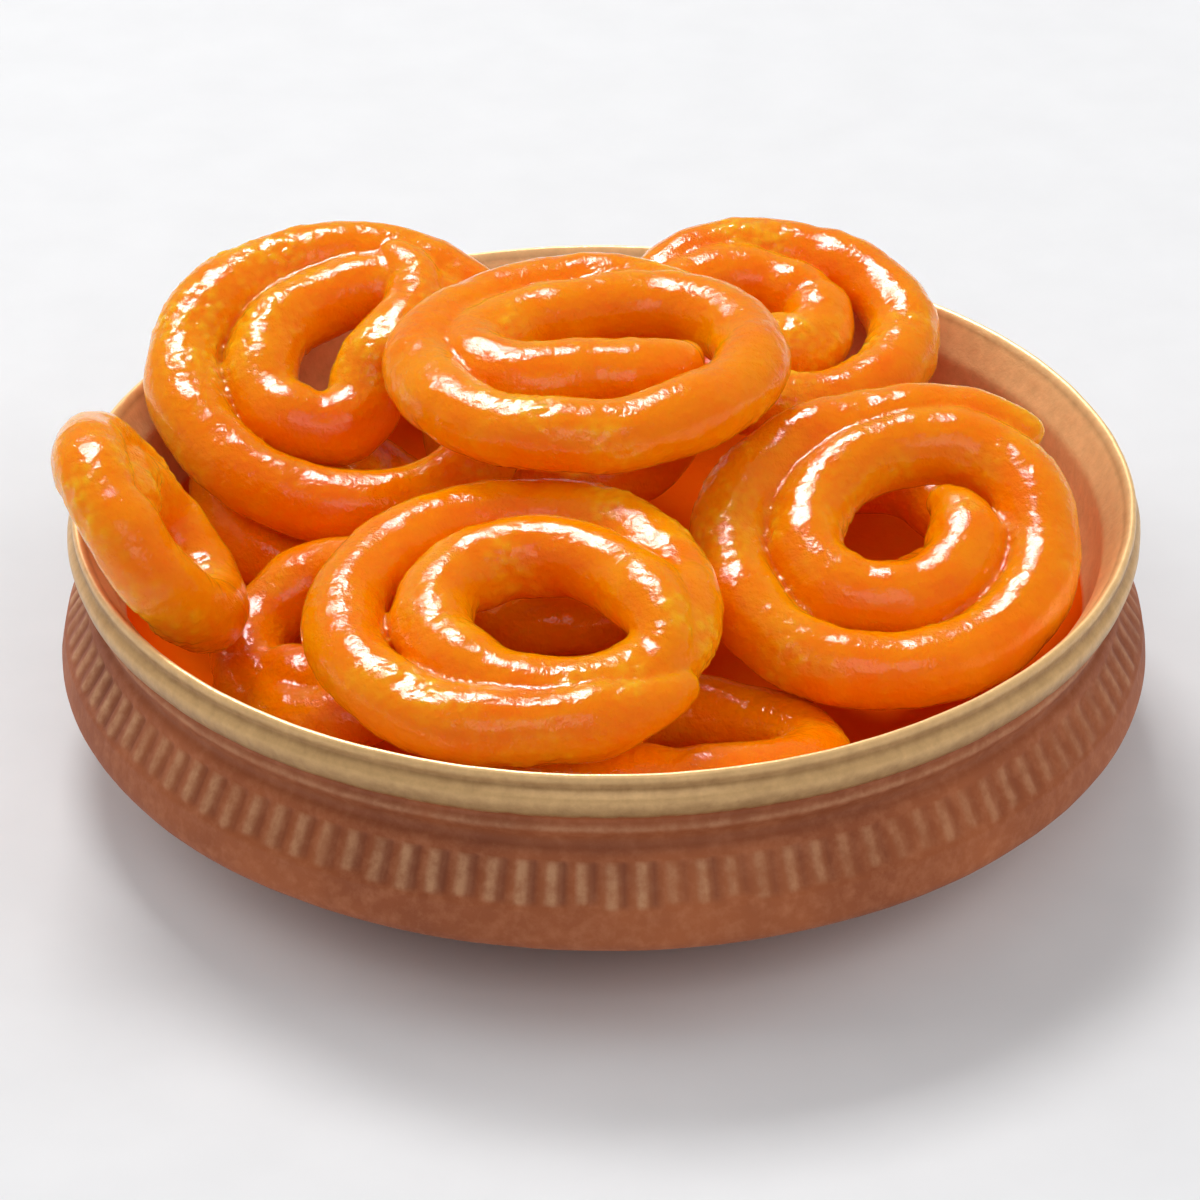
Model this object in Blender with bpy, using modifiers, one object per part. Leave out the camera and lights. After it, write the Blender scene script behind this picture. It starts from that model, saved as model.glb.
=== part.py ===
"""Jalebis heaped in a low clay bowl: one turned bowl and twelve fried spirals, each its own piece.

The origin is the middle of the bowl's flat base, on the ground. +Z is up and -Y is the front.
"""
from math import cos, radians, sin

import bmesh
import bpy
from mathutils import Euler, Vector

MM = 0.001

# The bowl, in millimetres: radii and heights of the rings that make its outline.
BOWL_STEPS = 40
BASE_R = 50.0
BELLY_R = 84.8
BELLY_Z = 17.8
BAND_LOW_R = 83.6
BAND_LOW_Z = 22.6
BAND_TOP_R = 80.6
BAND_TOP_Z = 28.0
NECK_R = 78.9
NECK_Z = 31.2
COLLAR_R = 80.0
COLLAR_Z = 34.2
RIM_R = 82.5
RIM_Z = 40.0
GROOVE_R = 81.4
GROOVE_Z = 42.0
CREST_R = 81.2
CREST_Z = 44.2
LIP_R = 77.2
LIP_Z = 38.8
FLOOR_R = 44.0
FLOOR_Z = 8.0
WALL_POINTS = 5

# The strands.
BEVEL_SIDES = 2
STATIONS = 3
HIDDEN_STATIONS = 2
HIDDEN_BEVEL_SIDES = 1
WELD = 0.02
JOIN_WIDTHS = (0.45, 0.8, 0.93)
END_WIDTHS = (0.7, 0.9)
ARC_KNOTS = 5

SYRUP_ORANGE = (0.85, 0.22, 0.01, 1.0)
CLAY = (0.36, 0.13, 0.06, 1.0)

# One row for each jalebi: name, strand radius, the middle of its spiral, its tilt (far side up,
# right side down, turned anticlockwise), the angle where the strand starts, the turn from one
# knot to the next, the strand's distance from the middle at each knot, and its rise there.
JALEBIS = (
    ("jalebi_front", 5.9, (-12.2, -43.9, 46.2), (6, 0, 0), -32, -45,
     (28, 24.5, 25, 26, 26, 26.5, 27, 24.5, 22, 18, 14.5, 13, 12.5, 13, 14.5, 17.5, 24),
     (0, 0, 0, 0, 0, 0, 0, 0, 0, 0, 1, 1.5, 2, 2, 2.5, 3.5, 3)),
    ("jalebi_right", 5.9, (43.0, -17.2, 43.4), (20, 2, 0), 46, 45,
     (32, 24, 23.5, 24.5, 25.5, 24.5, 23, 23.5, 24, 18, 14, 13, 12.5, 11, 11, 11.5, 12.5),
     ()),
    ("jalebi_centre", 5.9, (-2.9, 9.6, 60.1), (-2, 0, 0), 50, 45,
     (29, 26.5, 25, 25.5, 25.5, 24.5, 24, 26, 25, 17, 17, 17, 8, 4, 6.5, 15.5),
     ()),
    ("jalebi_back_left", 5.9, (-42.4, 30.0, 45.3), (20, 6, 0), 28, 45,
     (31, 29, 26.5, 25.5, 24.5, 25, 27, 26.5, 24.5, 22, 16, 13, 12, 10.5, 8, 5, 9, 26),
     (0, 0, 0, 0, 0, 0, 0, 0, 0, 0, 0, 0, 0, 0, 1, 3, 5, 4)),
    ("jalebi_back_right", 5.8, (26.8, 48.0, 46.4), (10, 4, 0), 168, -45,
     (21, 20, 20.5, 22, 22.5, 22, 20.5, 19.5, 17, 13, 10, 9, 8.5, 7.5, 5.5, 3.5),
     ()),
    ("jalebi_left", 5.6, (-67.3, -24.0, 49.2), (0, 56, 12), 60, 45,
     (17, 16.5, 15.5, 15.5, 16, 16, 15.5, 15, 13, 10, 8.5, 8, 8),
     ()),
    ("jalebi_low_front", 5.8, (4.6, -49.6, 28.2), (-11, 5, 0), 90, 45,
     (15.5, 18.5, 26.5, 18.5, 14.5, 18.5, 26.5, 18.5, 13, 12, 14, 9.5, 7.5),
     ()),
    ("jalebi_low_left", 5.8, (-41.5, -24.6, 30.0), (9, -23, 0), 0, -45,
     (14.5, 17, 18, 14, 13.5, 17, 18, 14, 12, 11, 9.5, 7.5, 7.5),
     ()),
    ("jalebi_low_right", 5.8, (42.7, 6.7, 26.0), (4, 1, 0), 180, 45,
     (16.5, 19, 25, 19, 15.5, 19, 25, 19, 14, 12.5, 13, 9.5, 8),
     ()),
    ("jalebi_low_back", 5.8, (-6.9, 48.5, 30.2), (16, -4, 0), 270, -45,
     (19, 17.5, 18, 18.5, 18, 17.5, 18, 18.5, 16, 11.5, 9.5, 9.5, 9),
     ()),
    ("jalebi_low_back_left", 5.8, (-45.1, 23.2, 25.1), (11, 17, 0), 100, -45,
     (16, 16, 17, 16, 15, 16, 17, 16, 13.5, 10.5, 9, 8, 7.5),
     ()),
    ("jalebi_low_middle", 5.8, (-4.6, 0.7, 25.6), (-14, -6, 0), 30, 45,
     (19, 19.5, 17, 16, 18, 19.5, 17, 16, 16, 13, 9, 8, 9),
     ()),
)


def through(values, per_knot):
    """Values read from a smooth curve through the given ones, per_knot steps from each to the next."""
    last = len(values) - 1
    read = []
    for step in range(last * per_knot + 1):
        knot = min(step // per_knot, last - 1)
        part = step / per_knot - knot
        before = values[max(knot - 1, 0)]
        near = values[knot]
        far = values[knot + 1]
        after = values[min(knot + 2, last)]
        slope_in = far - before
        slope_out = 2.0 * before - 5.0 * near + 4.0 * far - after
        bend = 3.0 * near - before - 3.0 * far + after
        read.append(near + 0.5 * part * (slope_in + part * (slope_out + part * bend)))
    return read


def spiral_points(row, stations):
    """The strand's centre line in metres, from its outer end to its inner end."""
    _, _, middle, tilt, start, knot_turn, reach, rise = row
    rises = tuple(rise) + (0.0,) * (len(reach) - len(rise))
    turn = Euler([radians(angle) for angle in tilt], "XYZ").to_matrix()
    points = []
    for step, (far, up) in enumerate(zip(through(reach, stations), through(rises, stations))):
        angle = radians(start + knot_turn * step / stations)
        local = Vector((far * cos(angle), far * sin(angle), up))
        points.append((turn @ local + Vector(middle)) * MM)
    return points


def strand_mesh(name, points, widths, radius, sides):
    """A round strand along the points, as a closed mesh."""
    curve = bpy.data.curves.new(name, "CURVE")
    curve.dimensions = "3D"
    curve.bevel_depth = radius * MM
    curve.bevel_resolution = sides
    curve.use_fill_caps = True
    spline = curve.splines.new("POLY")
    spline.points.add(len(points) - 1)
    for knot, place, width in zip(spline.points, points, widths):
        knot.co = (*place, 1.0)
        knot.radius = width
    guide = bpy.data.objects.new(name, curve)
    bpy.context.scene.collection.objects.link(guide)
    bpy.context.view_layer.update()
    graph = bpy.context.evaluated_depsgraph_get()
    mesh = bpy.data.meshes.new_from_object(guide.evaluated_get(graph))
    bpy.data.objects.remove(guide)
    cage = bmesh.new()
    cage.from_mesh(mesh)
    bmesh.ops.remove_doubles(cage, verts=cage.verts, dist=WELD * MM)
    bmesh.ops.recalc_face_normals(cage, faces=cage.faces)
    cage.to_mesh(mesh)
    cage.free()
    mesh.name = name
    mesh.shade_smooth()
    return mesh


def principled(name, colour, roughness):
    material = bpy.data.materials.new(name)
    material.use_nodes = True
    shader = material.node_tree.nodes["Principled BSDF"]
    shader.inputs["Base Color"].default_value = colour
    shader.inputs["Roughness"].default_value = roughness
    shader.inputs["Metallic"].default_value = 0.0
    material.diffuse_color = colour
    return material


def add_object(name, mesh, collection):
    piece = bpy.data.objects.new(name, mesh)
    collection.objects.link(piece)
    return piece


def add_jalebi(row, parts, cutters):
    """The spiral as arcs of one round strand, each fused to the ones it meets."""
    name = row[0]
    underneath = "_low_" in name
    stations = HIDDEN_STATIONS if underneath else STATIONS
    sides = HIDDEN_BEVEL_SIDES if underneath else BEVEL_SIDES
    points = spiral_points(row, stations)
    widths = [1.0] * len(points)
    widths[:len(END_WIDTHS)] = END_WIDTHS
    widths[-len(END_WIDTHS):] = reversed(END_WIDTHS)
    arc = ARC_KNOTS * stations
    piece = None
    for first in range(0, len(points) - arc // 2, arc):
        last = first + arc
        if last + arc // 2 >= len(points):
            last = len(points) - 1
        begin = max(first - len(JOIN_WIDTHS) + 1, 0)
        thick = widths[begin:last + 1]
        if first:
            thick[:len(JOIN_WIDTHS)] = JOIN_WIDTHS
        mesh = strand_mesh(name, points[begin:last + 1], thick, row[1], sides)
        if piece is None:
            mesh.materials.append(principled(name, SYRUP_ORANGE, 0.25))
            piece = add_object(name, mesh, parts)
            continue
        arc_piece = add_object(f"{name}_arc_{first}", mesh, cutters)
        arc_piece.hide_render = True
        arc_piece.display_type = "WIRE"
        union = piece.modifiers.new("arc", "BOOLEAN")
        union.operation = "UNION"
        union.solver = "EXACT"
        union.object = arc_piece
    return piece


def bowl_outline():
    """The outline from the middle of the floor up the inside, over the rim and down to the base."""
    inside = [(0.0, FLOOR_Z)]
    for step in range(WALL_POINTS + 1):
        angle = radians(90.0 * step / WALL_POINTS)
        reach = FLOOR_R + (LIP_R - 0.6 - FLOOR_R) * sin(angle)
        inside.append((reach, FLOOR_Z + (LIP_Z - 1.4 - FLOOR_Z) * (1.0 - cos(angle))))
    rim = [
        (LIP_R, LIP_Z),
        (CREST_R - 2.4, CREST_Z - 2.2),
        (CREST_R - 0.8, CREST_Z - 0.3),
        (CREST_R, CREST_Z),
        (CREST_R + 0.5, CREST_Z - 0.8),
        (GROOVE_R, GROOVE_Z),
        (RIM_R - 0.2, RIM_Z + 0.9),
        (RIM_R, RIM_Z),
        (RIM_R - 0.5, RIM_Z - 2.4),
    ]
    neck = [
        (COLLAR_R - 0.3, COLLAR_Z + 1.4),
        (COLLAR_R, COLLAR_Z),
        (NECK_R, NECK_Z),
        (NECK_R + 0.5, NECK_Z - 1.8),
        (BAND_TOP_R, BAND_TOP_Z),
        (BAND_LOW_R, BAND_LOW_Z),
    ]
    foot = [
        (BELLY_R - 0.3, BELLY_Z + 2.2),
        (BELLY_R, BELLY_Z),
        (BELLY_R - 0.7, BELLY_Z - 1.6),
        (BELLY_R - 3.2, BELLY_Z - 3.4),
        (BASE_R + 3.0, 1.2),
        (BASE_R, 0.0),
        (0.0, 0.0),
    ]
    return inside + rim + neck + foot


def add_bowl(parts):
    """The outline turned about the upright axis."""
    outline = bowl_outline()
    mesh = bpy.data.meshes.new("bowl")
    places = [(reach * MM, 0.0, height * MM) for reach, height in outline]
    edges = [(index, index + 1) for index in range(len(places) - 1)]
    mesh.from_pydata(places, edges, [])
    piece = add_object("bowl", mesh, parts)
    turned = piece.modifiers.new("turned", "SCREW")
    turned.axis = "Z"
    turned.steps = BOWL_STEPS
    turned.render_steps = BOWL_STEPS
    turned.use_merge_vertices = True
    turned.merge_threshold = 0.00001
    turned.use_smooth_shade = True
    mesh.materials.append(principled("bowl", CLAY, 0.6))
    return piece


def build():
    for thing in list(bpy.data.objects):
        bpy.data.objects.remove(thing)
    parts = bpy.data.collections.new("jalebi_bowl")
    cutters = bpy.data.collections.new("cutters")
    for group in (parts, cutters):
        bpy.context.scene.collection.children.link(group)
    add_bowl(parts)
    for row in JALEBIS:
        add_jalebi(row, parts, cutters)


build()
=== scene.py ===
"""Looks of the bowl of jalebis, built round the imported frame."""
from math import cos, pi, radians, sin

import bmesh
import bpy
import numpy as np
from mathutils import Euler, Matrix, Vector


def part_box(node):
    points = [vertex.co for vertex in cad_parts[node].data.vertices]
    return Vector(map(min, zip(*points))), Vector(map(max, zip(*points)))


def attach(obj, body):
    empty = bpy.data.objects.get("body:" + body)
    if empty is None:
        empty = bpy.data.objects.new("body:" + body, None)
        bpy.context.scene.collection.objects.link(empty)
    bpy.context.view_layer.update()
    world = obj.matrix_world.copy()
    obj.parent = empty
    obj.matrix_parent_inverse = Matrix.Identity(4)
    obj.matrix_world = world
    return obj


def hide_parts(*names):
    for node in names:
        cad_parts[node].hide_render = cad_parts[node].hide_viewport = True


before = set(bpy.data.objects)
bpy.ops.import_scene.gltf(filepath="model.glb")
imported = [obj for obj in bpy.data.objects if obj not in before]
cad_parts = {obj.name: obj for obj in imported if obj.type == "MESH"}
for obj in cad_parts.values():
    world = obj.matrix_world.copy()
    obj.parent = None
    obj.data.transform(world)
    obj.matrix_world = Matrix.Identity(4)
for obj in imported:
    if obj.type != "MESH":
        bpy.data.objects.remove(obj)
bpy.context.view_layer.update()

MM = 0.001
SEED = 7

# One row for each jalebi: strand radius, middle of the spiral, tilt, start angle, knot turn,
# reach at each knot, rise at each knot. Millimetres and degrees, in the frame of the model.
SPIRALS = {
    "jalebi_front": (
        5.9, (-12.2, -43.9, 46.2), (6, 0, 0), -32, -45,
        (28, 24.5, 25, 26, 26, 26.5, 27, 24.5, 22, 18, 14.5, 13, 12.5, 13, 14.5, 17.5, 24),
        (0, 0, 0, 0, 0, 0, 0, 0, 0, 0, 1, 1.5, 2, 2, 2.5, 3.5, 3)),
    "jalebi_right": (
        5.9, (43, -17.2, 43.4), (20, 2, 0), 46, 45,
        (32, 24, 23.5, 24.5, 25.5, 24.5, 23, 23.5, 24, 18, 14, 13, 12.5, 11, 11, 11.5, 12.5),
        ()),
    "jalebi_centre": (
        5.9, (-2.9, 9.6, 60.1), (-2, 0, 0), 50, 45,
        (29, 26.5, 25, 25.5, 25.5, 24.5, 24, 26, 25, 17, 17, 17, 8, 4, 6.5, 15.5),
        ()),
    "jalebi_back_left": (
        5.9, (-42.4, 30, 45.3), (20, 6, 0), 28, 45,
        (31, 29, 26.5, 25.5, 24.5, 25, 27, 26.5, 24.5, 22, 16, 13, 12, 10.5, 8, 5, 9, 26),
        (0, 0, 0, 0, 0, 0, 0, 0, 0, 0, 0, 0, 0, 0, 1, 3, 5, 4)),
    "jalebi_back_right": (
        5.8, (26.8, 48, 46.4), (10, 4, 0), 168, -45,
        (21, 20, 20.5, 22, 22.5, 22, 20.5, 19.5, 17, 13, 10, 9, 8.5, 7.5, 5.5, 3.5),
        ()),
    "jalebi_left": (
        5.6, (-67.3, -24, 49.2), (0, 56, 12), 60, 45,
        (17, 16.5, 15.5, 15.5, 16, 16, 15.5, 15, 13, 10, 8.5, 8, 8),
        ()),
    "jalebi_low_front": (
        5.8, (4.6, -49.6, 28.2), (-11, 5, 0), 90, 45,
        (15.5, 18.5, 26.5, 18.5, 14.5, 18.5, 26.5, 18.5, 13, 12, 14, 9.5, 7.5),
        ()),
    "jalebi_low_left": (
        5.8, (-41.5, -24.6, 30), (9, -23, 0), 0, -45,
        (14.5, 17, 18, 14, 13.5, 17, 18, 14, 12, 11, 9.5, 7.5, 7.5),
        ()),
    "jalebi_low_right": (
        5.8, (42.7, 6.7, 26), (4, 1, 0), 180, 45,
        (16.5, 19, 25, 19, 15.5, 19, 25, 19, 14, 12.5, 13, 9.5, 8),
        ()),
    "jalebi_low_back": (
        5.8, (-6.9, 48.5, 30.2), (16, -4, 0), 270, -45,
        (19, 17.5, 18, 18.5, 18, 17.5, 18, 18.5, 16, 11.5, 9.5, 9.5, 9),
        ()),
    "jalebi_low_back_left": (
        5.8, (-45.1, 23.2, 25.1), (11, 17, 0), 100, -45,
        (16, 16, 17, 16, 15, 16, 17, 16, 13.5, 10.5, 9, 8, 7.5),
        ()),
    "jalebi_low_middle": (
        5.8, (-4.6, 0.7, 25.6), (-14, -6, 0), 30, 45,
        (19, 19.5, 17, 16, 18, 19.5, 17, 16, 16, 13, 9, 8, 9),
        ()),
}

# How finely a strand is drawn: curve stations from knot to knot, and vertices round it.
STATIONS = 9
STRAND_SIDES = 20
CAP_RINGS = 4
CAP_BULGE = 0.9

VOXEL_SEEN = 0.55
VOXEL_LOW = 0.8
SMOOTHING = 5

# How far a strand strays from its curve in millimetres, and how its girth changes along it.
STRAY = 0.4
STRAY_WAVES = 9
GIRTH_WAVES = 11
GIRTH_MEAN = 0.99
GIRTH_SWING = 0.05
GIRTH_INSIDE = 1.07
TIP_GIRTH = 0.5
TIP_KNOTS = 0.8
TIP_CURVE = 0.7

# The waves that both follow: how fast they shorten one by one, the latest start in radians,
# and how strongly their number calms them.
WAVE_STRIDE = 1.7
WAVE_LATEST = 6.28
WAVE_CALM = 0.6

# Relief of the fried skin: how far across its lumps are and how high they stand, millimetres.
LUMP_ACROSS = 8.0
LUMP_HIGH = 0.30
KNOB_ACROSS = 3.6
KNOB_HIGH = 0.20
GRIT_ACROSS = 1.5
GRIT_HIGH = 0.07
BUBBLE_CELL = 1.9
BUBBLE_WIDTH = 0.62
BUBBLE_HIGH = 0.30
GRAIN_CELL = 1.1
GRAIN_WIDTH = 0.6
GRAIN_HIGH = 0.14
PIT_DEPTH = 0.16
PATCH_ACROSS = 13.0
PATCH_CONTRAST = 1.6
PATCH_EDGE_ACROSS = 5.0
PATCH_EDGE = 0.7
PATCH_RARITY = 0.15
# How pale a bubbly patch is between its blisters.
PATCH_GROUND = 0.35


# ---------------------------------------------------------------- noise and curves

# Large odd numbers that scramble the place of a cell into a repeatable one.
CELL_FACTORS = (374761393, 668265263, 2147483647)
SEED_FACTOR = 974634777
FIRST_SCRAMBLE = 1274126177
SECOND_SCRAMBLE = 2246822519
LOW_32_BITS = 0xFFFFFFFF
LOW_24_BITS = 0xFFFFFF
FARTHER_THAN_ANY = 9.0


def lattice(cells, seed):
    """A repeatable number from 0 to 1 for each whole-numbered cell."""
    mixed = seed * SEED_FACTOR
    for axis, factor in enumerate(CELL_FACTORS):
        mixed = mixed + cells[..., axis] * factor
    mixed = mixed & LOW_32_BITS
    mixed = ((mixed ^ (mixed >> 13)) * FIRST_SCRAMBLE) & LOW_32_BITS
    mixed = ((mixed ^ (mixed >> 16)) * SECOND_SCRAMBLE) & LOW_32_BITS
    return ((mixed ^ (mixed >> 15)) & LOW_24_BITS) / float(LOW_24_BITS)


def value_noise(points, scale, seed):
    """Smooth noise from -1 to 1 at each point, with lumps about scale across."""
    spots = points / scale
    base = np.floor(spots).astype(np.int64)
    part = spots - base
    part = part * part * (3.0 - 2.0 * part)
    total = np.zeros(len(points))
    for dx in (0, 1):
        for dy in (0, 1):
            for dz in (0, 1):
                share = np.where(dx, part[:, 0], 1 - part[:, 0])
                share = share * np.where(dy, part[:, 1], 1 - part[:, 1])
                share = share * np.where(dz, part[:, 2], 1 - part[:, 2])
                total += share * lattice(base + np.array((dx, dy, dz)), seed)
    return total * 2.0 - 1.0


def bubbles(points, cell, seed):
    """Distance to the nearest of scattered points, as a share of the cell size."""
    spots = points / cell
    base = np.floor(spots).astype(np.int64)
    nearest = np.full(len(points), FARTHER_THAN_ANY)
    for dx in (-1, 0, 1):
        for dy in (-1, 0, 1):
            for dz in (-1, 0, 1):
                cells = base + np.array((dx, dy, dz))
                middle = np.stack([lattice(cells, seed + axis) for axis in range(3)], -1)
                gap = np.linalg.norm(cells + middle - spots, axis=1)
                nearest = np.minimum(nearest, gap)
    return nearest


def domes(points, cell, width, seed):
    """Round blisters at scattered points, from 0 between them to 1 at their tops."""
    return np.clip(1.0 - (bubbles(points, cell, seed) / width) ** 2, 0.0, 1.0)


def hump(values, middle, width):
    """A soft rise from 0 to 1, highest where the values are the middle one."""
    return np.exp(-((values - middle) / width) ** 2)


def through(values, per_knot):
    """Values read from a smooth curve through the given ones."""
    last = len(values) - 1
    read = []
    for step in range(last * per_knot + 1):
        knot = min(step // per_knot, last - 1)
        part = step / per_knot - knot
        before = values[max(knot - 1, 0)]
        near = values[knot]
        far = values[knot + 1]
        after = values[min(knot + 2, last)]
        slope_in = far - before
        slope_out = 2.0 * before - 5.0 * near + 4.0 * far - after
        bend = 3.0 * near - before - 3.0 * far + after
        read.append(near + 0.5 * part * (slope_in + part * (slope_out + part * bend)))
    return np.array(read)


# ---------------------------------------------------------------- meshes

def read_rows(mesh, what):
    """Three numbers for each vertex, such as its place or its normal."""
    flat = np.empty(len(mesh.vertices) * 3)
    mesh.vertices.foreach_get(what, flat)
    return flat.reshape(-1, 3)


def write_share(mesh, name, values):
    """One number for each vertex, kept on the mesh for its material."""
    layer = mesh.attributes.new(name, "FLOAT", "POINT")
    layer.data.foreach_set("value", values.astype(np.float32))


def add_object(name, data):
    piece = bpy.data.objects.new(name, data)
    bpy.context.scene.collection.objects.link(piece)
    return piece


# ---------------------------------------------------------------- jalebis

def centre_line(row):
    """The strand's centre line in millimetres, and the way square to its coil."""
    _, middle, tilt, start, knot_turn, reach, rise = row
    rises = tuple(rise) + (0.0,) * (len(reach) - len(rise))
    far = through(reach, STATIONS)
    angle = np.radians(start + knot_turn * np.arange(len(far)) / STATIONS)
    local = np.stack([far * np.cos(angle), far * np.sin(angle), through(rises, STATIONS)], -1)
    turn = np.array(Euler([radians(a) for a in tilt], "XYZ").to_matrix())
    return local @ turn.T + np.array(middle), turn[:, 2]


def wander(count, waves, random):
    """A slow random wave along the strand, from about -1 to 1."""
    along = np.linspace(0.0, 2.0 * pi, count)
    total = np.zeros(count)
    for wave in range(1, waves + 1):
        swing = np.sin(along * wave * WAVE_STRIDE + random.uniform(0, WAVE_LATEST))
        total += swing * random.uniform(0.4, 1.0)
    return total / waves ** WAVE_CALM


def strand_radii(radius, count, random):
    """The radius at each station: uneven, fuller inside the spiral and pinched at both tips."""
    radii = radius * (GIRTH_MEAN + GIRTH_SWING * wander(count, GIRTH_WAVES, random))
    radii = radii * np.linspace(1.0, GIRTH_INSIDE, count)
    steps = np.arange(count)
    from_tip = np.minimum(steps, steps[::-1]) / (STATIONS * TIP_KNOTS)
    return radii * (TIP_GIRTH + (1.0 - TIP_GIRTH) * np.clip(from_tip, 0.0, 1.0) ** TIP_CURVE)


def tip_dome(place, outward, side, top, radius):
    """Ever smaller rings that round off one end of a strand."""
    stations = []
    for step in range(1, CAP_RINGS + 1):
        angle = radians(90.0 * step / (CAP_RINGS + 1))
        middle = place + outward * radius * sin(angle) * CAP_BULGE
        stations.append((middle, side, top, radius * cos(angle)))
    return stations


def strand_shell(line, up, radii):
    """A closed tube along the line with rounded ends, as vertices and faces."""
    heading = np.gradient(line, axis=0)
    heading /= np.linalg.norm(heading, axis=1)[:, None]
    across = np.cross(heading, up)
    across /= np.linalg.norm(across, axis=1)[:, None]
    above = np.cross(across, heading)
    stations = tip_dome(line[0], -heading[0], across[0], above[0], radii[0])[::-1]
    stations += list(zip(line, across, above, radii))
    stations += tip_dome(line[-1], heading[-1], across[-1], above[-1], radii[-1])
    angles = np.linspace(0.0, 2.0 * pi, STRAND_SIDES, endpoint=False)
    rings = []
    for place, side, top, radius in stations:
        around = np.outer(np.cos(angles), side) + np.outer(np.sin(angles), top)
        rings.append(place + radius * around)
    faces = []
    for ring in range(len(stations) - 1):
        low = ring * STRAND_SIDES
        high = low + STRAND_SIDES
        for step in range(STRAND_SIDES):
            nxt = (step + 1) % STRAND_SIDES
            faces.append((low + step, low + nxt, high + nxt, high + step))
    faces.append(tuple(reversed(range(STRAND_SIDES))))
    last = (len(stations) - 1) * STRAND_SIDES
    faces.append(tuple(range(last, last + STRAND_SIDES)))
    return np.concatenate(rings), faces


def fused_mesh(name, verts, faces, voxel):
    """The shell as one skin, through a voxel remesh and a light smoothing."""
    rough = bpy.data.meshes.new(name + "_rough")
    rough.from_pydata((verts * MM).tolist(), [], faces)
    holder = add_object(name + "_rough", rough)
    remesh = holder.modifiers.new("skin", "REMESH")
    remesh.mode = "VOXEL"
    remesh.voxel_size = voxel * MM
    remesh.adaptivity = 0.0
    smooth = holder.modifiers.new("soft", "SMOOTH")
    smooth.factor = 0.5
    smooth.iterations = SMOOTHING
    graph = bpy.context.evaluated_depsgraph_get()
    mesh = bpy.data.meshes.new_from_object(holder.evaluated_get(graph))
    bpy.data.objects.remove(holder)
    bpy.data.meshes.remove(rough)
    mesh.name = name
    return mesh


def surface_relief(mesh, seed):
    """Lumps, bubbles and pits pressed into the skin, and the bubbly share kept as an attribute."""
    points = read_rows(mesh, "co") / MM
    normals = read_rows(mesh, "normal")
    lumps = LUMP_HIGH * value_noise(points, LUMP_ACROSS, seed)
    lumps = lumps + KNOB_HIGH * value_noise(points, KNOB_ACROSS, seed + 1)
    patches = PATCH_CONTRAST * value_noise(points, PATCH_ACROSS, seed + 2)
    patches = patches + PATCH_EDGE * value_noise(points, PATCH_EDGE_ACROSS, seed + 3)
    patches = np.clip(patches - PATCH_RARITY, 0.0, 1.0)
    blisters = domes(points, BUBBLE_CELL, BUBBLE_WIDTH, seed + 4)
    grains = domes(points, GRAIN_CELL, GRAIN_WIDTH, seed + 9)
    relief = lumps + patches * (BUBBLE_HIGH * blisters + GRAIN_HIGH * grains - PIT_DEPTH)
    relief += GRIT_HIGH * value_noise(points, GRIT_ACROSS, seed + 14)
    moved = points + normals * relief[:, None]
    mesh.vertices.foreach_set("co", (moved * MM).ravel())
    write_share(mesh, "bubbly", patches * (PATCH_GROUND + (1.0 - PATCH_GROUND) * blisters))
    mesh.update()


def keep_in_box(mesh, node):
    """Moves and, if need be, shrinks the mesh a touch so that it stays in its node's box."""
    low, high = (np.array(corner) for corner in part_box(node))
    points = read_rows(mesh, "co")
    middle = (points.min(0) + points.max(0)) / 2
    spread = points.max(0) - points.min(0)
    shrink = np.minimum((high - low) / spread, 1.0)
    points = (points - middle) * shrink + (low + high) / 2
    mesh.vertices.foreach_set("co", points.ravel())
    mesh.update()


def build_jalebi(name, row, number):
    random = np.random.RandomState(SEED * 100 + number)
    line, up = centre_line(row)
    line = line + np.outer(wander(len(line), STRAY_WAVES, random), up) * STRAY
    radii = strand_radii(row[0], len(line), random)
    verts, faces = strand_shell(line, up, radii)
    voxel = VOXEL_LOW if "_low_" in name else VOXEL_SEEN
    mesh = fused_mesh(name + "_syrup", verts, faces, voxel)
    surface_relief(mesh, SEED + 31 * number)
    keep_in_box(mesh, name)
    mesh.shade_smooth()
    mesh.materials.append(syrup_material(name + "_syrup"))
    piece = add_object(name + "_syrup", mesh)
    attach(piece, "root")
    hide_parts(name)


# ---------------------------------------------------------------- materials

def linear(colour):
    """An everyday 0-255 colour as the linear numbers a shader takes."""
    out = []
    for part in colour:
        part = part / 255.0
        out.append(part / 12.92 if part <= 0.04045 else ((part + 0.055) / 1.055) ** 2.4)
    return (*out, 1.0)


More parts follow.
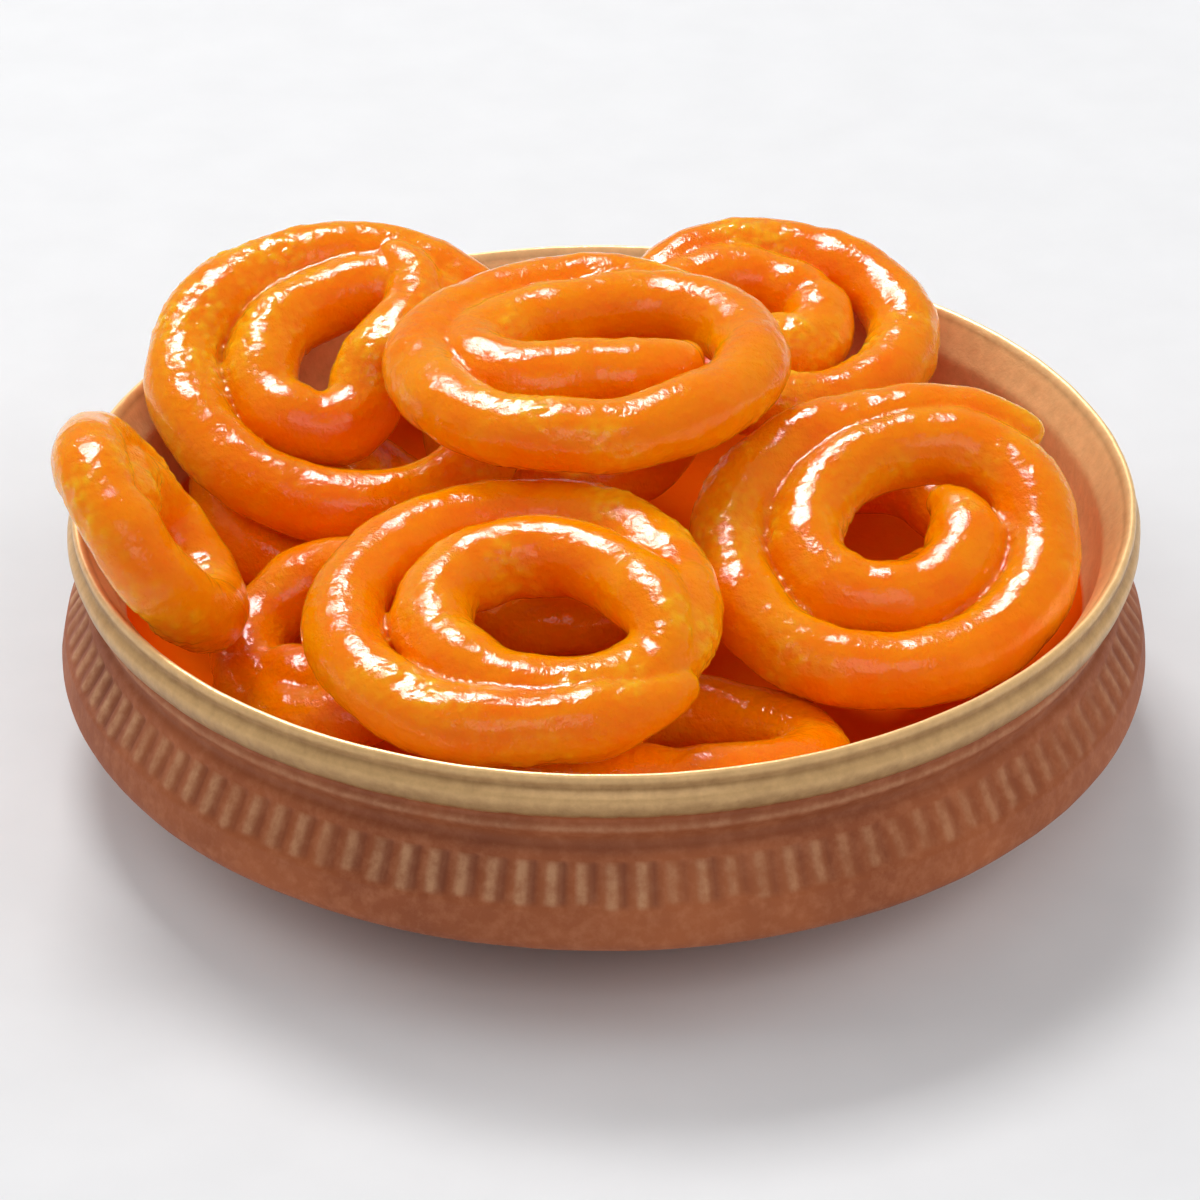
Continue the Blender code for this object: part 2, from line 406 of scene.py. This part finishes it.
class Nodes:
    """Small helper for wiring a material."""

    def __init__(self, name):
        self.material = bpy.data.materials.new(name)
        self.material.use_nodes = True
        self.tree = self.material.node_tree
        self.shader = self.tree.nodes["Principled BSDF"]
        self.where = self.add("ShaderNodeTexCoord").outputs["Object"]

    def add(self, kind, **values):
        node = self.tree.nodes.new(kind)
        for key, value in values.items():
            if key in node.inputs:
                node.inputs[key].default_value = value
            else:
                setattr(node, key, value)
        return node

    def feed(self, value, socket):
        """Links another node's output to the socket, or sets a plain value on it."""
        if isinstance(value, bpy.types.NodeSocket):
            self.tree.links.new(value, socket)
        else:
            socket.default_value = value

    def set(self, **values):
        """Feeds sockets of the shader, named with underscores for spaces."""
        for key, value in values.items():
            self.feed(value, self.shader.inputs[key.replace("_", " ")])

    def attribute(self, name):
        return self.add("ShaderNodeAttribute", attribute_name=name).outputs["Fac"]

    def noise(self, scale, detail=3.0, rough=0.5):
        node = self.add("ShaderNodeTexNoise", Scale=scale, Detail=detail, Roughness=rough)
        self.feed(self.where, node.inputs["Vector"])
        return node.outputs["Fac"]

    def remap(self, source, low, high, to_low=0.0, to_high=1.0):
        node = self.add("ShaderNodeMapRange")
        node.inputs["From Min"].default_value = low
        node.inputs["From Max"].default_value = high
        node.inputs["To Min"].default_value = to_low
        node.inputs["To Max"].default_value = to_high
        self.feed(source, node.inputs["Value"])
        return node.outputs["Result"]

    def mix(self, share, first, second):
        node = self.add("ShaderNodeMix", data_type="RGBA")
        self.feed(share, node.inputs[0])
        self.feed(first, node.inputs[6])
        self.feed(second, node.inputs[7])
        return node.outputs[2]

    def math(self, operation, first, second):
        node = self.add("ShaderNodeMath", operation=operation)
        self.feed(first, node.inputs[0])
        self.feed(second, node.inputs[1])
        return node.outputs[0]

    def bump(self, height, distance, strength=1.0, below=None):
        node = self.add("ShaderNodeBump", Strength=strength, Distance=distance)
        self.feed(height, node.inputs["Height"])
        if below is not None:
            self.feed(below, node.inputs["Normal"])
        return node.outputs["Normal"]


def syrup_material(name):
    """Fried batter full of orange syrup: deep colour inside and a wet skin."""
    nodes = Nodes(name)
    drift = nodes.remap(nodes.noise(55.0, 2.0), 0.35, 0.65)
    blotch = nodes.remap(nodes.noise(190.0, 4.0, 0.6), 0.35, 0.7)
    deep = linear((255, 117, 0))
    plain = linear((255, 136, 0))
    amber = linear((255, 158, 0))
    pale = linear((255, 188, 30))
    colour = nodes.mix(drift, deep, plain)
    colour = nodes.mix(nodes.math("MULTIPLY", blotch, 0.35), colour, amber)
    bubbly = nodes.math("MULTIPLY", nodes.attribute("bubbly"), 0.6)
    colour = nodes.mix(bubbly, colour, pale)
    nodes.shader.subsurface_method = "RANDOM_WALK"
    nodes.set(Base_Color=colour, Subsurface_Weight=0.4 if "_low_" in name else 0.85,
              Subsurface_Radius=(1.0, 0.42, 0.06), Subsurface_Scale=0.010)
    nodes.set(Roughness=0.42, IOR=1.45, Specular_IOR_Level=0.0)
    nodes.set(Coat_Weight=1.0, Coat_Roughness=0.07, Coat_IOR=1.36)
    grit = nodes.noise(1400.0, 3.0, 0.6)
    ripple = nodes.noise(640.0, 3.0, 0.55)
    # The crust is rough, and the syrup that coats it evens most of that out.
    crust = nodes.bump(grit, 0.00022, 0.8, nodes.bump(ripple, 0.0007, 0.8))
    coat = nodes.bump(grit, 0.00006, 0.7, nodes.bump(ripple, 0.00028, 0.7))
    nodes.set(Normal=crust, Coat_Normal=coat)
    nodes.material.diffuse_color = plain
    return nodes.material


def clay_colour(nodes, cloud, fine):
    """Fired clay, dusty in places, with painted shade in its hollows and painted highlights on its
    crests.
    """
    colour = nodes.mix(nodes.remap(cloud, 0.3, 0.7), linear((144, 73, 35)), linear((172, 94, 49)))
    dusty = nodes.math("MULTIPLY", nodes.remap(fine, 0.45, 0.75), 0.35)
    colour = nodes.mix(dusty, colour, linear((208, 136, 94)))
    # Painted shade: the clay darkens in the tick grooves and in the crevice under the rim.
    hollow_shade = nodes.math("MULTIPLY", nodes.attribute("hollow_shade"), 0.55)
    colour = nodes.mix(hollow_shade, colour, linear((96, 44, 26)))
    # Painted highlight: the clay pales on the tick ridges and on the ridge round the neck.
    painted_highlight = nodes.math("MULTIPLY", nodes.attribute("ridge_highlight"), nodes.remap(fine, 0.3, 0.6, 0.3, 0.9))
    return nodes.mix(painted_highlight, colour, linear((206, 158, 116)))


def gold_colour(nodes, fine):
    """Gold wash with random streaks, painted shade in the rim's grooves and underside, and a painted
    highlight on its top crest.
    """
    # The tone attribute paints shade into the rim's grooves and a highlight onto its top; the noise
    # adds random streaks.
    rim_light_and_streaks = nodes.math("ADD", nodes.attribute("tone"), nodes.remap(fine, 0.2, 0.8, -0.16, 0.16))
    return nodes.mix(rim_light_and_streaks, linear((130, 86, 38)), linear((252, 206, 142)))


def bowl_material(name):
    """Fired clay, a dull gold wash over the rim and the inside, and syrup in the bottom."""
    nodes = Nodes(name)
    cloud = nodes.noise(45.0, 4.0, 0.55)
    fine = nodes.noise(420.0, 5.0, 0.65)
    specks = nodes.noise(1500.0, 2.0, 0.6)
    edge = nodes.math("ADD", nodes.attribute("paint"), nodes.remap(fine, 0.2, 0.8, -0.28, 0.28))
    painted = nodes.remap(edge, 0.42, 0.58)
    shore = nodes.remap(cloud, 0.3, 0.7, -0.12, 0.12)
    puddle = nodes.remap(nodes.math("ADD", nodes.attribute("syrup"), shore), 0.4, 0.6)
    dry = nodes.mix(painted, clay_colour(nodes, cloud, fine), gold_colour(nodes, fine))
    soaked = nodes.mix(nodes.remap(cloud, 0.35, 0.65), linear((246, 94, 3)), linear((250, 116, 8)))
    gilding = nodes.math("MULTIPLY", nodes.remap(puddle, 0.0, 1.0, 0.2, 0.0), painted)
    nodes.set(Base_Color=nodes.mix(puddle, dry, soaked), Metallic=gilding,
              Roughness=nodes.remap(painted, 0.0, 1.0, 0.62, 0.36),
              Specular_IOR_Level=nodes.remap(puddle, 0.0, 1.0, 0.4, 0.0))
    nodes.set(Normal=nodes.bump(specks, 0.00008, 0.5, nodes.bump(fine, 0.00025, 0.5)))
    nodes.material.diffuse_color = linear((170, 100, 66))
    return nodes.material


def floor_material():
    nodes = Nodes("floor")
    grain = nodes.remap(nodes.noise(60.0, 3.0), 0.3, 0.7)
    colour = nodes.mix(grain, linear((232, 233, 235)), linear((235, 236, 238)))
    nodes.set(Base_Color=colour, Roughness=0.9, Specular_IOR_Level=0.0)
    return nodes.material


# ---------------------------------------------------------------- bowl

# How far out and up the bowl may go, in millimetres.
BOWL_REACH = 84.55
BOWL_TOP = 44.18
RING_STEPS = 2

# The pressed ticks round the shoulder: their number, and where they lie in millimetres.
TICKS = 120
TURN_STEPS = TICKS * 6
TICK_TOP = 28.9
TICK_LONG = 6.2
TICK_FADE_LOW = 0.7
TICK_FADE_TOP = 0.5
SHOULDER_LOW = 22.0
SHOULDER_REACH = 79.5
GROOVE_DEEP = 0.55
RIDGE_HIGH = 0.2
# Where a groove and the ridge beside it lie in the pitch of a tick, and how wide they are.
GROOVE = (0.62, 0.19)
RIDGE = (0.25, 0.18)
# The side where the ticks are nearly worn away, in degrees, and how much of them is gone there.
WORN_SIDE = -38.0
WORN_SHARE = 0.75

# The bottom of the inside is soaked up to this height; the inside is the first rings.
SYRUP_TOP = 27.0
SYRUP_SHORE = 4.0
SYRUP_RINGS = 26

# How light the gold wash is at each height of the rim's outside, as painted shade in its grooves and
# underside and a painted highlight on its top crest, and all over the inside.
TONE_LEVELS = (37.2, 38.4, 39.4, 40.4, 41.2, 41.9, 42.6, 43.3, 43.9, 44.2)
TONES = (0.15, 0.30, 0.42, 0.62, 0.58, 0.22, 0.34, 0.60, 0.85, 1.0)
INSIDE_TONE = 0.82
RIM_REACH = 80.0
RIM_LEVEL = 42.5

# A painted highlight along the ridge round the neck and painted shade in the crevice under the rim:
# height and width, with how far out each lies, in millimetres.
NECK_LINE = (34.3, 0.5)
NECK_REACH = 79.0
NECK_HIGHLIGHT = 0.45
CREVICE = (31.0, 1.2)
CREVICE_REACH = (77.8, 80.2)
CREVICE_SHADE = 0.5

# How much a hand-turned bowl wanders: each row is lump size, height and noise seed. The middle
# of the floor stays true.
WOBBLES = ((14.0, 0.10, 3), (4.0, 0.05, 5))
WOBBLE_FROM = 20.0
TINY = 1e-6

# The inside: a flat floor, then a quarter of an ellipse up to the rim.
FLOOR_LEVEL = 8.0
WALL_FROM = 44.0
WALL_OUT = 32.6
WALL_UP = 29.4
WALL_POINTS = 9


def bowl_outline():
    """Reach, height and paint share of each ring, from the middle of the floor to the base."""
    inside = [(reach, FLOOR_LEVEL, 1.0) for reach in (0.0, 22.0, 43.0)]
    for step in range(1, WALL_POINTS):
        angle = radians(90.0 * step / WALL_POINTS)
        rise = WALL_UP * (1.0 - cos(angle))
        inside.append((WALL_FROM + WALL_OUT * sin(angle), FLOOR_LEVEL + rise, 1.0))
    rim = [
        (76.65, 37.2, 1.0), (76.9, 38.3, 1.0), (77.25, 38.95, 1.0), (77.9, 39.9, 1.0),
        (79.0, 41.7, 1.0), (79.9, 43.1, 1.0), (80.6, 43.95, 1.0), (81.1, 44.15, 1.0),
        (81.55, 43.8, 1.0), (81.65, 43.1, 1.0), (81.45, 42.4, 1.0), (81.4, 41.9, 1.0),
        (81.7, 41.4, 1.0), (82.2, 40.8, 1.0), (82.45, 40.1, 1.0), (82.4, 39.2, 1.0),
        (82.1, 38.2, 0.9), (81.8, 37.5, 0.6),
    ]
    neck = [
        (81.0, 36.8, 0.3), (80.1, 36.2, 0.1), (79.75, 35.4, 0.0), (80.0, 34.7, 0.0),
        (80.15, 34.1, 0.0), (79.9, 33.4, 0.0), (79.2, 32.4, 0.0), (78.9, 31.4, 0.0),
        (78.95, 30.7, 0.0), (79.5, 30.2, 0.0), (79.9, 29.5, 0.0), (80.1, 28.9, 0.0),
    ]
    band = [
        (80.45, 28.2, 0.0), (81.1, 27.1, 0.0), (81.8, 26.0, 0.0), (82.5, 24.9, 0.0),
        (83.1, 23.9, 0.0), (83.35, 23.4, 0.0), (83.55, 23.0, 0.0), (83.85, 22.5, 0.0),
    ]
    foot = [
        (84.0, 21.6, 0.0), (84.3, 20.2, 0.0), (84.5, 18.9, 0.0), (84.5, 17.8, 0.0),
        (84.2, 16.9, 0.0), (83.5, 16.0, 0.0), (82.0, 14.9, 0.0), (78.0, 12.9, 0.0),
        (70.0, 9.2, 0.0), (60.0, 4.6, 0.0), (54.0, 1.8, 0.0), (51.2, 0.5, 0.0),
        (50.0, 0.0, 0.0), (30.0, 0.0, 0.0), (0.0, 0.0, 0.0),
    ]
    return inside + rim + neck + band + foot


def pressed_ticks(angles, radii, levels):
    """How deep the grooves and how high the ridges of the ticks are, each from 0 to 1."""
    random = np.random.RandomState(SEED)
    turn = angles / (2.0 * pi) * TICKS
    tick = np.floor(turn).astype(int) % TICKS
    place = turn - np.floor(turn)
    depth = random.uniform(0.55, 1.0, TICKS)[tick]
    worn = np.clip(np.cos(angles - radians(WORN_SIDE)) * 1.6 - 0.9, 0.0, 1.0)
    depth = depth * (1.0 - WORN_SHARE * worn)
    bottom = TICK_TOP - TICK_LONG * random.uniform(0.86, 1.0, TICKS)[tick]
    fade = np.clip((levels - bottom) / TICK_FADE_LOW, 0.0, 1.0)
    fade = fade * np.clip((TICK_TOP - levels) / TICK_FADE_TOP, 0.0, 1.0)
    shoulder = (radii > SHOULDER_REACH) & (levels > SHOULDER_LOW) & (levels < TICK_TOP)
    grooves = np.where(shoulder, fade * (hump(place, *GROOVE) * depth), 0.0)
    ridges = np.where(shoulder, fade * (hump(place, *RIDGE) * depth), 0.0)
    return grooves, ridges


def hand_turned(points):
    """The points moved in and out a little, as in a bowl turned by hand, within its reach."""
    wobble = sum(height * value_noise(points, size, seed) for size, height, seed in WOBBLES)
    flat = points[:, :2]
    far = np.linalg.norm(flat, axis=1)
    outward = flat / np.maximum(far, TINY)[:, None]
    grown = wobble * np.clip((far - WOBBLE_FROM) / WOBBLE_FROM, 0.0, 1.0)
    flat = flat + outward * grown[:, None]
    far = np.linalg.norm(flat, axis=1)
    flat = flat * np.minimum(1.0, BOWL_REACH / np.maximum(far, TINY))[:, None]
    return np.concatenate([flat, points[:, 2:]], 1)


def turned_faces(rings):
    """Faces of a turned shape: quads between the rings, and a fan round each middle vertex."""
    step = np.arange(TURN_STEPS)
    nxt = (step + 1) % TURN_STEPS
    quads = []
    for ring in range(rings - 1):
        low = ring * TURN_STEPS
        high = low + TURN_STEPS
        quads.append(np.stack([low + step, low + nxt, high + nxt, high + step], -1))
    faces = np.concatenate(quads).tolist()
    floor_middle = rings * TURN_STEPS
    base_middle = floor_middle + 1
    edge = (rings - 1) * TURN_STEPS
    faces += [(floor_middle, int(b), int(a)) for a, b in zip(step, nxt)]
    faces += [(base_middle, int(edge + a), int(edge + b)) for a, b in zip(step, nxt)]
    return faces


def turned_mesh(name, verts, rings):
    mesh = bpy.data.meshes.new(name)
    mesh.from_pydata((verts * MM).tolist(), [], turned_faces(rings))
    checker = bmesh.new()
    checker.from_mesh(mesh)
    bmesh.ops.recalc_face_normals(checker, faces=checker.faces)
    checker.to_mesh(mesh)
    checker.free()
    return mesh


def with_middles(values, floor_middle=0.0, base_middle=0.0):
    """The values of the rings' vertices, then those of the two middle ones."""
    return np.append(np.ravel(values), (floor_middle, base_middle))


def build_bowl():
    outline = np.array(bowl_outline())
    reach, height, paint = (through(column.tolist(), RING_STEPS) for column in outline.T)
    reach = np.clip(reach, 0.0, BOWL_REACH)
    height = np.clip(height, 0.0, BOWL_TOP)
    paint = np.clip(paint, 0.0, 1.0)
    rings = len(reach) - 2
    angles = np.linspace(0.0, 2.0 * pi, TURN_STEPS, endpoint=False)
    radii = np.repeat(reach[1:-1, None], TURN_STEPS, 1)
    levels = np.repeat(height[1:-1, None], TURN_STEPS, 1)
    grooves, ridges = pressed_ticks(angles, radii, levels)
    radii = radii - grooves * GROOVE_DEEP + ridges * RIDGE_HIGH
    points = np.stack([radii * np.cos(angles), radii * np.sin(angles), levels], -1)
    verts = hand_turned(points.reshape(-1, 3))
    middles = [(0.0, 0.0, height[0]), (0.0, 0.0, height[-1])]
    mesh = turned_mesh("bowl_clay", np.concatenate([verts, middles]), rings)
    # What the material reads: gold wash, its tone with painted shade and highlight on the rim,
    # painted highlights on the tick ridges and neck ridge, syrup, and painted shade in the tick
    # grooves and under the rim.
    write_share(mesh, "paint", with_middles(np.repeat(paint[1:-1], TURN_STEPS), paint[0], paint[-1]))
    gilded = (radii > RIM_REACH) | (levels > RIM_LEVEL)
    # On the rim the tone is painted shade in the grooves and a painted highlight on the top crest;
    # the inside keeps one even tone.
    tone = np.where(gilded, np.interp(levels, TONE_LEVELS, TONES), INSIDE_TONE)
    write_share(mesh, "tone", with_middles(tone))
    # Painted highlight on the tick ridges and on the ridge round the neck, kept for the material.
    painted_highlight = np.where(radii > NECK_REACH, NECK_HIGHLIGHT * hump(levels, *NECK_LINE), 0.0)
    write_share(mesh, "ridge_highlight", with_middles(ridges + painted_highlight))
    inside = np.repeat(np.arange(1, rings + 1) < SYRUP_RINGS, TURN_STEPS)
    soaked = inside * np.clip((SYRUP_TOP - verts[:, 2]) / SYRUP_SHORE + 0.5, 0.0, 1.0)
    write_share(mesh, "syrup", with_middles(soaked, 1.0))
    # Painted shade for the tick grooves and the crevice under the rim, kept for the material.
    far = np.hypot(verts[:, 0], verts[:, 1])
    crevice = (far > CREVICE_REACH[0]) & (far < CREVICE_REACH[1])
    painted_shade = grooves.ravel() + CREVICE_SHADE * hump(verts[:, 2], *CREVICE) * crevice
    write_share(mesh, "hollow_shade", with_middles(np.clip(painted_shade, 0.0, 1.0)))
    mesh.shade_smooth()
    mesh.materials.append(bowl_material("bowl_clay"))
    piece = add_object("bowl_clay", mesh)
    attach(piece, "root")
    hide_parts("bowl")


# ---------------------------------------------------------------- stage

FLOOR_HALF = 6.0
FLOOR_DROP = 0.0002
ROOM_LIGHT = 0.30
LAMP_AIM = (0.0, 0.0, 0.04)


def build_stage():
    mesh = bpy.data.meshes.new("floor")
    corners = [(-1, -1), (1, -1), (1, 1), (-1, 1)]
    mesh.from_pydata([(x * FLOOR_HALF, y * FLOOR_HALF, -FLOOR_DROP) for x, y in corners],
                     [], [(0, 1, 2, 3)])
    mesh.materials.append(floor_material())
    floor = add_object("floor", mesh)
    world = bpy.data.worlds.new("room")
    bpy.context.scene.world = world
    world.use_nodes = True
    back = world.node_tree.nodes["Background"]
    back.inputs["Color"].default_value = (0.97, 0.98, 1.0, 1.0)
    back.inputs["Strength"].default_value = ROOM_LIGHT


def add_area(name, place, size, power, colour=(1.0, 0.99, 0.98), diffuse=True, gloss=True):
    """A soft box that looks at the bowl, seen by matt light, by reflections or by both."""
    lamp = bpy.data.lights.new(name, "AREA")
    lamp.shape = "RECTANGLE"
    lamp.size = size[0]
    lamp.size_y = size[1]
    lamp.energy = power
    lamp.color = colour
    holder = add_object(name, lamp)
    holder.location = place
    way = Vector(LAMP_AIM) - Vector(place)
    holder.rotation_euler = way.to_track_quat("-Z", "Y").to_euler()
    holder.visible_diffuse = diffuse
    holder.visible_glossy = gloss


def build_lights():
    """A window behind the bowl, its sharper gleam on the syrup, and dim fills all round."""
    add_area("key_back", (-0.30, 0.78, 1.42), (0.60, 0.45), 13.0, (1.0, 0.985, 0.97))
    add_area("key_gloss", (-0.36, 0.80, 1.40), (0.90, 0.70), 48.0, (1.0, 0.92, 0.86), diffuse=False)
    add_area("fill_left", (-1.30, 0.25, 0.95), (1.2, 1.1), 8.0, gloss=False)
    add_area("fill_right", (1.35, -0.10, 0.90), (1.2, 1.1), 7.5, gloss=False)
    add_area("fill_front", (0.1, -1.3, 1.2), (1.1, 0.8), 5.0)


CAMERA_PLACE = (-0.000611, -0.598010, 0.387028)
CAMERA_DIP = 31.317
CAMERA_LENS = 134.28
FILM_WIDTH = 36.0


def build_camera():
    camera = bpy.data.cameras.new("camera")
    camera.sensor_width = FILM_WIDTH
    camera.lens = CAMERA_LENS
    camera.clip_start = 0.01
    camera.clip_end = 50.0
    holder = add_object("camera", camera)
    holder.location = CAMERA_PLACE
    holder.rotation_euler = (radians(90.0 - CAMERA_DIP), 0.0, 0.0)
    bpy.context.scene.camera = holder


bpy.context.scene.view_settings.view_transform = "Standard"
build_stage()
build_lights()
build_camera()
build_bowl()
for number, (node, row) in enumerate(SPIRALS.items()):
    build_jalebi(node, row, number)
